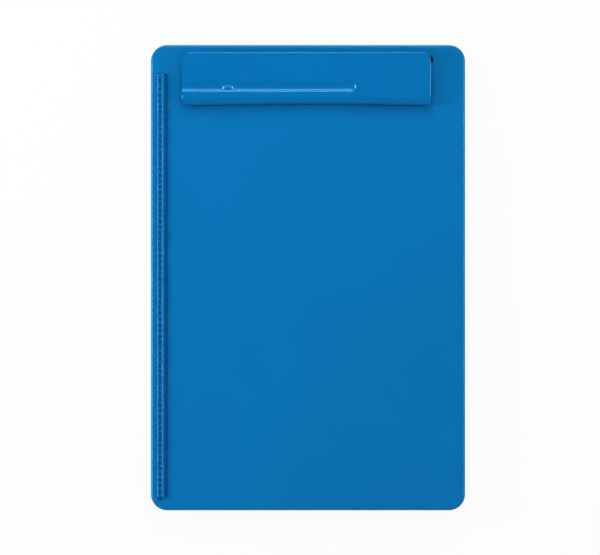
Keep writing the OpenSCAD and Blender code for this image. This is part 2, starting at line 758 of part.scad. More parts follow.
module clasp() {
    color(blue) difference() {
        union() {
            rod_y(barrel_r, pin_x, pin_z, -clasp_w / 2, clasp_w / 2);
            translate([plate_x, 0, clasp_z]) rotate([90, 0, 90]) linear_extrude(clasp_t)
                foot_rounded(clasp_w, pin_z - clasp_z, clasp_corner_r);
            block([plate_x - hook_d, -pocket_half + hook_end, hook_z],
                [plate_x + clasp_t / 2, pocket_half - hook_end, hook_z + hook_h]);
        }
        rod_y(pin_r + bore_gap, pin_x, pin_z, -clasp_w, clasp_w);
        for (i = [0 : finger_grooves - 1])
            translate([plate_x + clasp_t - finger_depth, -clasp_w / 4,
                    clasp_z + (i + 0.6) * finger_pitch])
                cube([clasp_t, clasp_w / 2, finger_pitch / 2]);
    }
}

tray();
hinge_rod();
hinge_rod_caps();
lid();
paper_edge();
clip_base();
backing_plate();
clip_rivets();
pivot_rod();
rod_rings();
spring_left();
spring_right();
clasp_pin();
clip_lever();
lever_bracket();
grip_strip();
clasp();
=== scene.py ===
# %% [markdown]
# # A storage clipboard, dressed for its portrait
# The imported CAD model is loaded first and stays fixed. Everything made below sits on it, in the
# same metres and the same axes: +Z up out of the writing face, +Y towards the clip, +X towards
# the clasp. The origin is under the middle of the case, on the table.

# %% Load the frame
import math
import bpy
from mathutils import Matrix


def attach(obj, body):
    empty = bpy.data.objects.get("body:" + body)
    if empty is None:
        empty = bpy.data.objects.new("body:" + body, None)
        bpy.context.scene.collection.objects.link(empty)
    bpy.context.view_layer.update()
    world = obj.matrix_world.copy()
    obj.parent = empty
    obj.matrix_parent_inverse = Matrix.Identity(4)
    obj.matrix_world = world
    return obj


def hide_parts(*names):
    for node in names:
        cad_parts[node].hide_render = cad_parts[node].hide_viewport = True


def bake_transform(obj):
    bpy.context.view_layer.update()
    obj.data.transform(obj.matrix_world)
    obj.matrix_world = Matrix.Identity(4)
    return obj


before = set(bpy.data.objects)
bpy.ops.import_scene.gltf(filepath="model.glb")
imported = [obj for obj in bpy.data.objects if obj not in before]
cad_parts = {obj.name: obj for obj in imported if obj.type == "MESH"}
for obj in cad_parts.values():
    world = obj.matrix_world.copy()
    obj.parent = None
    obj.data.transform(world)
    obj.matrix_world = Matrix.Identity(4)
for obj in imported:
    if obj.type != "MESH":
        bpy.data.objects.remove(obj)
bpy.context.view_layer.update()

from types import SimpleNamespace as Sizes

import bmesh
import bpy
from mathutils import Vector

MM = 0.001


def spot(x, y, z):
    """A place in metres from millimetres."""
    return (x * MM, y * MM, z * MM)


print("nodes in the frame:", len(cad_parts))

# %% [markdown]
# ## The camera
# The board is seen from straight above. A long lens from two and a half metres keeps the clip,
# which stands a centimetre above the board, nearly free of perspective. The picture is
# 600 by 555 pixels, and one pixel is a little under 0.74 mm on the writing face.

# %% Camera over the writing face
PIXEL = 0.7376 * MM
FACE_Z = 22 * MM
LENS, SENSOR = 200.0, 36.0

camera_data = bpy.data.cameras.new("overhead_camera")
camera_data.lens = LENS
camera_data.sensor_fit = "HORIZONTAL"
camera_data.sensor_width = SENSOR
camera = bpy.data.objects.new("overhead_camera", camera_data)
camera.location = (-8.0 * PIXEL, 0.2 * PIXEL, FACE_Z + 600 * PIXEL * LENS / SENSOR)
bpy.context.collection.objects.link(camera)
bpy.context.scene.camera = camera
bpy.context.scene.view_settings.view_transform = "Standard"
print("camera height:", round(camera.location.z, 3), "m")

# %% [markdown]
# ## Light, backdrop and floor
# The board lies in a light tent: even, white light comes from all round and makes the soft shade
# beside everything that stands up. Five weak lamps give that shade its direction: two on the
# left, two beyond the clip, and one on the right that keeps that side from going dull. None of
# them shows in gloss. The bright lines along rims and rails come from glows in the tent, made
# with the world below, so that lines and shade can each be set on their own.


# %% Soft boxes
LAMP_SIZE = (0.26, 0.16)
LAMP_AIM = Vector((0, 0.02, 0.02))


def softbox(name, place, watts):
    """A rectangular lamp at place, in metres, that faces the middle of the board."""
    data = bpy.data.lights.new(name, "AREA")
    data.shape = "RECTANGLE"
    data.size, data.size_y = LAMP_SIZE
    data.energy = watts
    lamp = bpy.data.objects.new(name, data)
    lamp.location = place
    lamp.visible_glossy = False
    lamp.rotation_euler = (Vector(place) - LAMP_AIM).to_track_quat("Z", "Y").to_euler()
    bpy.context.collection.objects.link(lamp)
    return lamp


softbox("left_box", (-0.95, 0.05, 0.57), 3.0)
softbox("left_low_box", (-1.05, 0.05, 0.36), 1.85)
softbox("right_box", (0.84, 0.05, 0.73), 1.0)
softbox("clip_end_high_box", (0.0, 0.475, 0.756), 0.95)
softbox("clip_end_box", (0.0, 0.70, 0.566), 1.2)
print("lamps:", sorted(light.name for light in bpy.data.lights))


# %% Two helpers for node trees
def add(tree, kind, inputs=None, **settings):
    """Adds a node with its properties set; inputs are values, or sockets to link to."""
    node = tree.nodes.new(kind)
    for key, value in settings.items():
        setattr(node, key, value)
    for key, value in (inputs or {}).items():
        if isinstance(value, bpy.types.NodeSocket):
            tree.links.new(value, node.inputs[key])
        else:
            node.inputs[key].default_value = value
    return node


def maths(tree, operation, *values):
    """The output of a Math node; its values are numbers or sockets."""
    return add(tree, "ShaderNodeMath", dict(enumerate(values)), operation=operation).outputs[0]


# %% [markdown]
# The tent itself is the world. Every direction gives the same soft light. Gloss sees something
# else: a dark overhead, so that the flat faces keep their full colour, a paler band low down,
# and a glow on either long side and beyond the clip. A glow fades with a power of the cosine of
# the angle to its middle. A low power makes a wide, soft sheen, and a high one a thin, bright
# line. The camera sees plain white.

# %% World: the light tent
TENT = 0.562
DARK_POLE, HORIZON = 0.02, 0.25
BAND_LOW, BAND_HIGH = 0.05, 0.5   # Z of a direction where the low band starts to fade, and ends
# Each glow has the direction of its middle, then the strength and the power of each of its parts.
GLOWS = {
    "left": ((-0.87, 0.0, 0.5), ((2.6, 14), (17.0, 180))),
    "right": ((0.80, 0.05, 0.6), ((0.8, 14), (11.0, 180))),
    "rear": ((0.0, 0.68, 0.73), ((7.5, 100),))}

world = bpy.data.worlds.new("light_tent")
bpy.context.scene.world = world
world.use_nodes = True
tree = world.node_tree
tree.nodes.clear()
path = add(tree, "ShaderNodeLightPath")
way = add(tree, "ShaderNodeTexCoord").outputs["Generated"]
height = add(tree, "ShaderNodeSeparateXYZ", {0: way})
mirrored_light = add(tree, "ShaderNodeMapRange", {
    "Value": height.outputs["Z"], "From Min": BAND_LOW, "From Max": BAND_HIGH,
    "To Min": HORIZON, "To Max": DARK_POLE}).outputs[0]
for label, (towards, parts) in GLOWS.items():
    near = add(tree, "ShaderNodeVectorMath", {0: way, 1: Vector(towards).normalized()},
               operation="DOT_PRODUCT", label=label).outputs["Value"]
    for bright, power in parts:
        fading = maths(tree, "POWER", near, power)
        mirrored_light = maths(tree, "MULTIPLY_ADD", fading, bright, mirrored_light)
mirrored = maths(
    tree, "MAXIMUM", path.outputs["Is Glossy Ray"], path.outputs["Is Transmission Ray"])
seen = add(tree, "ShaderNodeMix", {"Factor": mirrored, "A": TENT, "B": mirrored_light})
strength = add(tree, "ShaderNodeMix", {
    "Factor": path.outputs["Is Camera Ray"], "A": seen.outputs[0], "B": 1.0})
backdrop = add(tree, "ShaderNodeBackground", {
    "Color": (1, 1, 1, 1), "Strength": strength.outputs[0]})
tree.links.new(backdrop.outputs[0], add(tree, "ShaderNodeOutputWorld").inputs["Surface"])
print("world nodes:", len(tree.nodes))

# %% [markdown]
# The floor is a pale plane. Rays from the camera, and those that come by way of gloss or glass,
# see it mostly as plain white, and a small share of it still shows the case's own shadow.

# %% Floor
FLOOR_HALF, FLOOR_Z = 4, -0.1 * MM   # half its side and its height, in metres
PLAIN_SHARE = 0.92   # how much of the floor is plain white to those rays, and not lit paper
floor_mesh = bpy.data.meshes.new("floor")
floor_mesh.from_pydata(
    [(x * FLOOR_HALF, y * FLOOR_HALF, FLOOR_Z) for x, y in ((-1, -1), (1, -1), (1, 1), (-1, 1))],
    [], [(0, 1, 2, 3)])
floor = bpy.data.objects.new("floor", floor_mesh)
bpy.context.collection.objects.link(floor)

paper = bpy.data.materials.new("floor_paper")
paper.use_nodes = True
tree = paper.node_tree
tree.nodes.clear()
path = add(tree, "ShaderNodeLightPath")
white_for = maths(
    tree, "MAXIMUM", path.outputs["Is Glossy Ray"], path.outputs["Is Transmission Ray"])
white_for = maths(tree, "MAXIMUM", path.outputs["Is Camera Ray"], white_for)
share = maths(tree, "MULTIPLY", white_for, PLAIN_SHARE)
matt = add(tree, "ShaderNodeBsdfDiffuse", {"Color": (0.9, 0.9, 0.9, 1)})
glow = add(tree, "ShaderNodeEmission", {"Color": (1, 1, 1, 1), "Strength": 1.0})
mixed = add(tree, "ShaderNodeMixShader", {0: share, 1: matt.outputs[0], 2: glow.outputs[0]})
tree.links.new(mixed.outputs[0], add(tree, "ShaderNodeOutputMaterial").inputs["Surface"])
floor_mesh.materials.append(paper)
print("floor:", tuple(round(v, 2) for v in floor.dimensions))

# %% [markdown]
# ## Finishes
# Each finish is a Principled shader with its own values. What varies over a surface comes from
# three shared groups: fine grain, a slow change of tone with a few scuffs, and wear on rubbed
# edges. They read Object coordinates in metres, so the grain has its real size on every piece.


# %% Start a shader group
def shader_group(name, inputs, outputs):
    """An empty shader group with named float inputs, as (name, value), and (name, type) outputs."""
    group = bpy.data.node_groups.new(name, "ShaderNodeTree")
    for label, value in inputs:
        socket = group.interface.new_socket(label, in_out="INPUT", socket_type="NodeSocketFloat")
        socket.default_value = value
    for label, kind in outputs:
        group.interface.new_socket(label, in_out="OUTPUT", socket_type="NodeSocket" + kind)
    return group, group.nodes.new("NodeGroupInput"), group.nodes.new("NodeGroupOutput")


# %% [markdown]
# Moulded plastic takes the texture of its steel mould, and sprayed paint dries with a faint
# orange peel. Both are a noise of a certain size and depth, so one group serves them. Stretch
# draws the grain out along X, as the marks on drawn wire are.

# %% Group: fine grain
grain, g_in, g_out = shader_group(
    "fine grain",
    [("Size mm", 0.4), ("Depth mm", 0.01), ("Stretch", 1.0),
     ("Rough low", 0.3), ("Rough high", 0.4)],
    [("Normal", "Vector"), ("Roughness", "Float")])
where = add(grain, "ShaderNodeTexCoord").outputs["Object"]
squeeze = maths(grain, "DIVIDE", 1.0, g_in.outputs["Stretch"])
along = add(grain, "ShaderNodeCombineXYZ", {"X": squeeze, "Y": 1.0, "Z": 1.0})
drawn_out = add(grain, "ShaderNodeVectorMath", {
    0: where, 1: along.outputs[0]}, operation="MULTIPLY")
per_metre = maths(grain, "DIVIDE", 1 / MM, g_in.outputs["Size mm"])
pits = add(grain, "ShaderNodeTexNoise", {
    "Vector": drawn_out.outputs[0], "Scale": per_metre, "Detail": 2.0, "Roughness": 0.55})
depth = maths(grain, "MULTIPLY", g_in.outputs["Depth mm"], MM)
bump = add(grain, "ShaderNodeBump", {"Distance": depth, "Height": pits.outputs["Fac"]})
patches = add(grain, "ShaderNodeTexNoise", {"Vector": where, "Scale": 38.0, "Detail": 3.0})
rough = add(grain, "ShaderNodeMapRange", {
    "Value": patches.outputs["Fac"], "From Min": 0.3, "From Max": 0.7,
    "To Min": g_in.outputs["Rough low"], "To Max": g_in.outputs["Rough high"]})
grain.links.new(bump.outputs["Normal"], g_out.inputs["Normal"])
grain.links.new(rough.outputs[0], g_out.inputs["Roughness"])
print("group:", grain.name, len(grain.nodes), "nodes")

# %% [markdown]
# No pigment is quite even: large soft clouds differ by a percent or two, and handling leaves
# short, faint scuffs. The group gives a mask for each.

# %% Group: tone and scuffs
tone, t_in, t_out = shader_group(
    "tone and scuffs", [("Cloud mm", 60.0), ("Scuffs", 0.3)],
    [("Clouds", "Float"), ("Scuffs", "Float")])
where = add(tone, "ShaderNodeTexCoord").outputs["Object"]
per_metre = maths(tone, "DIVIDE", 1 / MM, t_in.outputs["Cloud mm"])
clouds = add(tone, "ShaderNodeTexNoise", {
    "Vector": where, "Scale": per_metre, "Detail": 2.0, "Roughness": 0.4})
smooth_clouds = add(tone, "ShaderNodeMapRange", {
    "Value": clouds.outputs["Fac"], "From Min": 0.3, "From Max": 0.7},
    interpolation_type="SMOOTHSTEP")
drawn = add(tone, "ShaderNodeMapping", {
    "Vector": where, "Rotation": (0, 0, 0.6), "Scale": (9, 160, 40)})
lines = add(tone, "ShaderNodeTexNoise", {"Vector": drawn.outputs[0], "Scale": 9.0, "Detail": 3.0})
thin = add(tone, "ShaderNodeMapRange", {
    "Value": lines.outputs["Fac"], "From Min": 0.66, "From Max": 0.74})
spread = add(tone, "ShaderNodeTexNoise", {"Vector": where, "Scale": 14.0, "Detail": 1.0})
few = add(tone, "ShaderNodeMapRange", {
    "Value": spread.outputs["Fac"], "From Min": 0.5, "From Max": 0.65})
marks = maths(tone, "MULTIPLY", thin.outputs[0], few.outputs[0])
marks = maths(tone, "MULTIPLY", marks, t_in.outputs["Scuffs"])
tone.links.new(smooth_clouds.outputs[0], t_out.inputs["Clouds"])
tone.links.new(marks, t_out.inputs["Scuffs"])
print("group:", tone.name, len(tone.nodes), "nodes")

# %% [markdown]
# Corners that rub against bags and desks turn a little paler and smoother. The faces that round
# an edge carry the number 1 in an attribute called rubbed, and all others carry 0. A noise breaks
# the paler mark up, so that it never looks drawn. The second output is the plain number, which
# the finish uses to make every rounded edge a bit glossier than the flat beside it.

# %% Group: rubbed edges
rubbed, r_in, r_out = shader_group(
    "rubbed edges", [("Amount", 0.5)], [("Mask", "Float"), ("Edge", "Float")])
on_edge = add(rubbed, "ShaderNodeAttribute", attribute_name="rubbed")
broken = add(rubbed, "ShaderNodeTexNoise", {
    "Vector": add(rubbed, "ShaderNodeTexCoord").outputs["Object"], "Scale": 90.0, "Detail": 4.0})
bare = add(rubbed, "ShaderNodeMapRange", {
    "Value": broken.outputs["Fac"], "From Min": 0.45, "From Max": 0.62})
worn = maths(rubbed, "MULTIPLY", on_edge.outputs["Fac"], bare.outputs[0])
worn = maths(rubbed, "MULTIPLY", worn, r_in.outputs["Amount"])
rubbed.links.new(worn, r_out.inputs["Mask"])
rubbed.links.new(on_edge.outputs["Fac"], r_out.inputs["Edge"])
print("group:", rubbed.name, len(rubbed.nodes), "nodes")


# %% One maker for all finishes
def finish(name, colour, deep, worn_colour, grain_mm, depth_mm, rough, stretch=1.0, cloud_mm=60.0,
           scuffs=0.3, edge=0.5, edge_rough=0.25, **plain):
    """A Principled material: a colour with deeper clouds, paler and smoother edges, and grain."""
    material = bpy.data.materials.new(name)
    material.use_nodes = True
    tree = material.node_tree
    shader = tree.nodes["Principled BSDF"]
    for key, value in plain.items():
        shader.inputs[key.replace("_", " ")].default_value = value
    surface = add(tree, "ShaderNodeGroup", node_tree=grain)
    for key, value in (("Size mm", grain_mm), ("Depth mm", depth_mm), ("Stretch", stretch),
                       ("Rough low", rough[0]), ("Rough high", rough[1])):
        surface.inputs[key].default_value = value
    pigment = add(tree, "ShaderNodeGroup", node_tree=tone)
    pigment.inputs["Cloud mm"].default_value = cloud_mm
    pigment.inputs["Scuffs"].default_value = scuffs
    rub = add(tree, "ShaderNodeGroup", node_tree=rubbed)
    rub.inputs["Amount"].default_value = edge
    clouded = add(tree, "ShaderNodeMix", {
        "Factor": pigment.outputs["Clouds"], 6: (*colour, 1), 7: (*deep, 1)}, data_type="RGBA")
    either = maths(tree, "MAXIMUM", pigment.outputs["Scuffs"], rub.outputs["Mask"])
    rubbed_colour = add(tree, "ShaderNodeMix", {
        "Factor": either, 6: clouded.outputs[2], 7: (*worn_colour, 1)}, data_type="RGBA")
    tree.links.new(rubbed_colour.outputs[2], shader.inputs["Base Color"])
    smoother = add(tree, "ShaderNodeMix", {
        "Factor": rub.outputs["Edge"], "A": surface.outputs["Roughness"], "B": edge_rough})
    tree.links.new(smoother.outputs[0], shader.inputs["Roughness"])
    tree.links.new(surface.outputs["Normal"], shader.inputs["Normal"])
    return material


# %% [markdown]
# The case is moulded in a deep sky blue plastic with a satin skin. The rails of the paper edge
# come from a polished part of the mould, so the same plastic is smooth and bright there. The
# lever is sheet steel under a glossy coat of the same blue. The works below it are zinc plated,
# the rods, rivets and springs are bright steel, and the grip is black rubber. The gloss of the
# blue finishes is tinted, which keeps their flat faces a full blue under the white tent.

# %% The six finishes
BLUE_GLOSS = (0.11, 0.57, 1.0, 1.0)
PAINT_GLOSS = (0.24, 0.62, 1.0, 1.0)
PLASTIC = ((0.0, 0.180, 0.495), (0.0, 0.172, 0.475), (0.02, 0.24, 0.57))

case_plastic = finish(
    "satin_case_plastic", *PLASTIC,
    grain_mm=0.30, depth_mm=0.003, rough=(0.40, 0.46), scuffs=0.04, edge=0.30, edge_rough=0.24,
    IOR=1.6, Specular_IOR_Level=0.8, Specular_Tint=BLUE_GLOSS)
rail_plastic = finish(
    "polished_rail_plastic", *PLASTIC,
    grain_mm=0.30, depth_mm=0.001, rough=(0.24, 0.30), scuffs=0.02, edge=0.12, edge_rough=0.24,
    IOR=2.0, Specular_IOR_Level=1.0, Specular_Tint=BLUE_GLOSS)
lever_paint = finish(
    "baked_lever_paint", (0.0, 0.180, 0.500), (0.0, 0.175, 0.486), (0.02, 0.24, 0.57),
    grain_mm=1.1, depth_mm=0.002, rough=(0.15, 0.19), scuffs=0.04, edge=0.25, edge_rough=0.16,
    IOR=1.7, Specular_IOR_Level=0.8, Specular_Tint=PAINT_GLOSS)
zinc_plate = finish(
    "tumbled_zinc_plate", (0.70, 0.71, 0.73), (0.60, 0.61, 0.64), (0.80, 0.80, 0.81),
    grain_mm=1.6, depth_mm=0.004, rough=(0.26, 0.40), cloud_mm=6.0, scuffs=0.4, edge=0.5,
    Metallic=1.0)
bright_steel = finish(
    "drawn_bright_steel", (0.62, 0.63, 0.65), (0.55, 0.56, 0.59), (0.74, 0.74, 0.75),
    grain_mm=0.25, depth_mm=0.002, rough=(0.16, 0.26), stretch=6.0, cloud_mm=4.0, scuffs=0.3,
    edge=0.4, Metallic=1.0)
grip_rubber = finish(
    "black_grip_rubber", (0.020, 0.020, 0.022), (0.028, 0.028, 0.030), (0.06, 0.06, 0.06),
    grain_mm=0.3, depth_mm=0.02, rough=(0.62, 0.78), cloud_mm=8.0, scuffs=0.3, edge=0.6,
    edge_rough=0.6, Specular_IOR_Level=0.3)
print("finishes:", [material.name for material in (
    case_plastic, rail_plastic, lever_paint, zinc_plate, bright_steel, grip_rubber)])

# %% [markdown]
# ## From a CAD node to a finished piece
# Nothing that is moulded or stamped has a knife edge, and a render shows it at once: a small
# rounding catches the light as a thin line. A copy of the CAD mesh is joined up into whole
# faces, and a Bevel modifier rounds its corners. Where a rounding has shrunk to nothing, its
# points are merged, so that the mesh stays closed. Weighted normals then keep the large flat
# faces flat to the light, and only the rounding turns it. The copy now stands for its node.
#
# Bevel gives the faces that it adds material number 1. Dressing turns that number into the
# rubbed attribute. On the moulded pieces it also marks each face that doesn't look straight
# along an axis, because those roundings come from the polished corners of a mould.

# %% Dress a piece
WELD = 0.002 * MM      # points of the CAD mesh that are this close are one point
SPECK = 0.0003 * MM    # so are points this close after the rounding
FLAT = 0.5             # degrees between two triangles of one flat face
STRAIGHT = 0.99        # the least part along an axis for a face that looks straight along it


def settle(piece):
    """Turns the piece and its modifiers into a plain mesh."""
    graph = bpy.context.evaluated_depsgraph_get()
    mesh = bpy.data.meshes.new_from_object(piece.evaluated_get(graph), depsgraph=graph)
    piece.modifiers.clear()
    piece.data = mesh
    return piece


def dress(piece, material, slot, *nodes, body="", smooth=40):
    """Gives the piece its material and even shading, swaps it for nodes, and lets it ride."""
    mesh = piece.data
    rounding = [face.material_index for face in mesh.polygons]
    moulded = material in (case_plastic, rail_plastic)
    mesh.materials.clear()
    mesh.materials.append(material)
    edge = mesh.attributes.new("rubbed", "FLOAT", "CORNER")
    for face, rounded in zip(mesh.polygons, rounding):
        turned = moulded and max(abs(part) for part in face.normal) < STRAIGHT
        face.material_index = 0
        for corner in face.loop_indices:
            edge.data[corner].value = float(rounded or turned)
    mesh.shade_smooth()
    mesh.set_sharp_from_angle(angle=math.radians(smooth))
    even = piece.modifiers.new("even shading", "WEIGHTED_NORMAL")
    even.keep_sharp = True
    settle(piece)
    if body:
        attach(piece, body)
    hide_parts(*nodes)
    print(f"{piece.name}: {len(piece.data.vertices)} points, {len(piece.data.polygons)} faces")


# %% Make and join meshes
def new_piece(name, data):
    """A new object that holds a mesh or a curve."""
    piece = bpy.data.objects.new(name, data)
    bpy.context.collection.objects.link(piece)
    return piece


def built_piece(name, built):
    """A new piece from a bmesh, which is used up."""
    mesh = bpy.data.meshes.new(name)
    built.to_mesh(mesh)
    built.free()
    return new_piece(name, mesh)


def lofted(name, outlines):
    """A closed piece through outlines that all have the same number of points, in metres."""
    built = bmesh.new()
    rings = [[built.verts.new(point) for point in outline] for outline in outlines]
    for near, far in zip(rings, rings[1:]):
        for k in range(len(near)):
            after = (k + 1) % len(near)
            built.faces.new((near[k], near[after], far[after], far[k]))
    for end in (rings[0], rings[-1]):
        built.faces.new(end)
    bmesh.ops.recalc_face_normals(built, faces=built.faces)
    return built_piece(name, built)


def two_slots(piece):
    """Two empty material slots, so that a modifier can mark its new faces with number 1."""
    piece.data.materials.clear()
    for _ in range(2):
        piece.data.materials.append(None)


def round_edges(piece, radius, steps=2, corner=30):
    """Rounds and marks every edge that is sharper than corner, in degrees."""
    two_slots(piece)
    bevel = piece.modifiers.new("rounding", "BEVEL")
    bevel.limit_method = "ANGLE"
    bevel.angle_limit = math.radians(corner)
    bevel.width = radius
    bevel.segments = steps
    bevel.miter_outer = "MITER_ARC"
    bevel.material = 1
    return settle(piece)


def rounded_copy(node, name, radius, steps=2, cutter=None):
    """A copy of a CAD node, joined into whole faces, less the cutter, with its edges rounded."""
    built = bmesh.new()
    built.from_mesh(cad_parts[node].data)
    bmesh.ops.remove_doubles(built, verts=built.verts, dist=WELD)
    bmesh.ops.dissolve_limit(
        built, angle_limit=math.radians(FLAT), verts=built.verts, edges=built.edges)
    piece = built_piece(name, built)
    if cutter:
        carve = piece.modifiers.new("recess", "BOOLEAN")
        carve.object = cutter
        settle(piece)
        bpy.data.objects.remove(cutter)
    round_edges(piece, radius, steps)
    form = bmesh.new()
    form.from_mesh(piece.data)
    bmesh.ops.remove_doubles(form, verts=form.verts, dist=SPECK)
    form.to_mesh(piece.data)
    form.free()
    return piece


def stand_in(node, name, radius, material, slot, body, **shaping):
    """A rounded copy, by radius in millimetres, takes the node's place and rides on body."""
    dress(rounded_copy(node, name, radius * MM, **shaping), material, slot, node, body=body)


# %% [markdown]
# ### Case
# The tray and the lid are two moulded shells. Their big roundings come from the CAD, and only
# the small ones at rims, pockets and holes are added here. The lid also gets a gutter that runs
# all along the inner side of the paper edge. It is deepest beside the rail, where it reads as a
# dark line, and then rises to the writing face in a slope too flat to catch the light. A closed
# form with that profile is lofted from end to end, fading out at both, and a Boolean modifier
# cuts it out of the lid.

# %% Tray
stand_in("tray", "tray_shell", 0.25, case_plastic, "case_plastic", "tray_body")

# %% Lid and its gutter, in millimetres
GUTTER = Sizes(
    left=-105.65, face=22.0, over=23.0,
    # distance from the rail, depth
    across=((0.0, 2.1), (1.1, 2.1), (2.0, 0.72), (4.9, -0.05)),
    # place along the lid, share of that depth
    along=((-163.6, -0.1), (-162.6, 0.6), (-161.2, 1.0),
           (148.4, 1.0), (149.8, 0.6), (150.8, -0.1)))
outlines = []
for y, share in GUTTER.along:
    outline = [(away, GUTTER.face - depth * share) for away, depth in GUTTER.across]
    outline += [(GUTTER.across[-1][0], GUTTER.over), (0.0, GUTTER.over)]
    outlines.append([spot(GUTTER.left + away, y, z) for away, z in outline])
gutter = lofted("gutter", outlines)
stand_in("lid", "writing_lid", 0.2, case_plastic, "case_plastic", "lid_body", cutter=gutter)

# %% Hinge rod, its caps, the clasp and its pin
stand_in("hinge_rod", "hinge_wire", 0.2, bright_steel, "bright_steel", "tray_body")
stand_in("hinge_rod_caps", "hinge_end_caps", 0.4, case_plastic, "case_plastic", "tray_body",
         steps=3)
stand_in("clasp", "side_clasp", 0.2, case_plastic, "case_plastic", "clasp_body")
stand_in("clasp_pin", "clasp_axle", 0.15, bright_steel, "bright_steel", "lid_body")

# %% [markdown]
# ### Clip works
# The stamped plates have edges broken in a tumbler, so their rounding is small and even.

# %% Plates, rod and rings
stand_in("clip_base", "clip_base_plate", 0.15, zinc_plate, "zinc_plate", "lid_body")
stand_in("backing_plate", "rivet_backing", 0.2, zinc_plate, "zinc_plate", "lid_body")
stand_in("pivot_rod", "pivot_axle", 0.3, bright_steel, "bright_steel", "lid_body", steps=3)
stand_in("rod_rings", "push_on_rings", 0.2, zinc_plate, "zinc_plate", "lid_body")
stand_in("lever_bracket", "lever_bracket_plate", 0.15, zinc_plate, "zinc_plate", "lever_body")

# %% [markdown]
# ## Trees for what repeats
# Rivets, scale bars and spring wire are made by Geometry Nodes. A tree keeps its sizes as named
# inputs, so the same tree makes a short row or a long one. It ends in Realize Instances and Set
# Material, and its result becomes a plain mesh.


# %% Start a tree, run a tree
def growing_tree(name, **inputs):
    """A Geometry Nodes tree with named inputs, given as name=(socket type, default)."""
    tree = bpy.data.node_groups.new(name, "GeometryNodeTree")
    for label, (kind, value) in inputs.items():
        socket = tree.interface.new_socket(
            label.replace("_", " "), in_out="INPUT", socket_type="NodeSocket" + kind)
        if value is not None:
            socket.default_value = value
    tree.interface.new_socket("Geometry", in_out="OUTPUT", socket_type="NodeSocketGeometry")
    return tree, tree.nodes.new("NodeGroupInput").outputs


def close_tree(tree, parts, material):
    """Joins the parts, makes instances real, sets the material and ends the tree."""
    whole = add(tree, "GeometryNodeJoinGeometry")
    for part in parts:
        tree.links.new(part, whole.inputs[0])
    real = add(tree, "GeometryNodeRealizeInstances", {"Geometry": whole.outputs[0]})
    done = add(tree, "GeometryNodeSetMaterial", {
        "Geometry": real.outputs[0], "Material": material})
    tree.links.new(done.outputs[0], tree.nodes.new("NodeGroupOutput").inputs[0])
    print("tree:", tree.name, len(tree.nodes), "nodes")


def grown(name, tree, **inputs):
    """A new piece made by a tree, with its inputs set by name, as a plain mesh."""
    piece = new_piece(name, bpy.data.meshes.new(name))
    grow = piece.modifiers.new("grow", "NODES")
    grow.node_group = tree
    for item in tree.interface.items_tree:
        label = item.name.replace(" ", "_")
        if item.in_out == "INPUT" and label in inputs:
            grow[item.identifier] = inputs[label]
    return settle(piece)


# %% [markdown]
# ### Rivets
# Four rivets hold the clip base through the lid to its backing plate. A rivet is a shank with a
# domed head at each end, which is a turned shape, so its half outline is spun round its axis
# once. The tree then sets that one form at all four places, two in front and two behind.

# %% Sizes of the rivets, in millimetres
RIVET = Sizes(
    shank=1.6, low=18.4, high=23.2, head=2.8, head_rise=1.1, head_rim=0.08, undercut=0.1,
    dome_steps=8, sides=36, front_y=143.7, rear_y=157.9, front_half=12.0, rear_half=53.0)
CLIP_MIDDLE = -1.4


# %% Spin an outline round the Z axis
def spun(name, outline, sides):
    """A closed turned form from (radius, height) points in mm that start and end on the axis."""
    built = bmesh.new()
    rings = []
    for radius, height in outline:
        count = sides if radius > 0 else 1
        rings.append([built.verts.new(spot(
            radius * math.cos(2 * math.pi * k / sides),
            radius * math.sin(2 * math.pi * k / sides), height)) for k in range(count)])
    for low, high in zip(rings, rings[1:]):
        for k in range(sides):
            after = (k + 1) % sides
            corners = [low[k % len(low)], low[after % len(low)],
                       high[after % len(high)], high[k % len(high)]]
            built.faces.new(list(dict.fromkeys(corners)))
    return built_piece(name, built)


def domed_head(edge_z, way):
    """Points of a rivet head from its rim to its crown; way is 1 for upwards, -1 for downwards."""
    head, rise, steps = RIVET.head, RIVET.head_rise, RIVET.dome_steps
    ball = (head ** 2 + rise ** 2) / (2 * rise)
    rim = math.asin(head / ball)
    points = [(head - RIVET.undercut, edge_z), (head, edge_z + way * RIVET.head_rim)]
    for k in range(1, steps):
        lean = rim * (1 - k / steps)
        points.append((ball * math.sin(lean), edge_z + way * (rise - ball + ball * math.cos(lean))))
    return points + [(0, edge_z + way * rise)]


shank = [(RIVET.shank, RIVET.low), (RIVET.shank, RIVET.high)]
rivet_form = spun(
    "rivet_form", domed_head(RIVET.low, -1)[::-1] + shank + domed_head(RIVET.high, 1),
    RIVET.sides)
print("rivet form:", len(rivet_form.data.polygons), "faces")

# %% Tree: rivets at four places
riveting, sizes = growing_tree(
    "four rivets", Rivet=("Object", rivet_form), Middle=("Float", 0.0),
    Front_half=("Float", 0.012), Front_y=("Float", 0.14), Rear_half=("Float", 0.05),
    Rear_y=("Float", 0.15), Material=("Material", bright_steel))
pairs = []
for row in ("Front", "Rear"):
    first = maths(riveting, "SUBTRACT", sizes["Middle"], sizes[row + " half"])
    start = add(riveting, "ShaderNodeCombineXYZ", {"X": first, "Y": sizes[row + " y"]})
    gap = maths(riveting, "MULTIPLY", sizes[row + " half"], 2.0)
    stride = add(riveting, "ShaderNodeCombineXYZ", {"X": gap})
    pair = add(riveting, "GeometryNodeMeshLine", {
        "Count": 2, "Start Location": start.outputs[0], "Offset": stride.outputs[0]})
    form = add(riveting, "GeometryNodeObjectInfo", {"Object": sizes["Rivet"], "As Instance": True})
    pairs.append(add(riveting, "GeometryNodeInstanceOnPoints", {
        "Points": pair.outputs[0], "Instance": form.outputs["Geometry"]}).outputs[0])
close_tree(riveting, pairs, sizes["Material"])

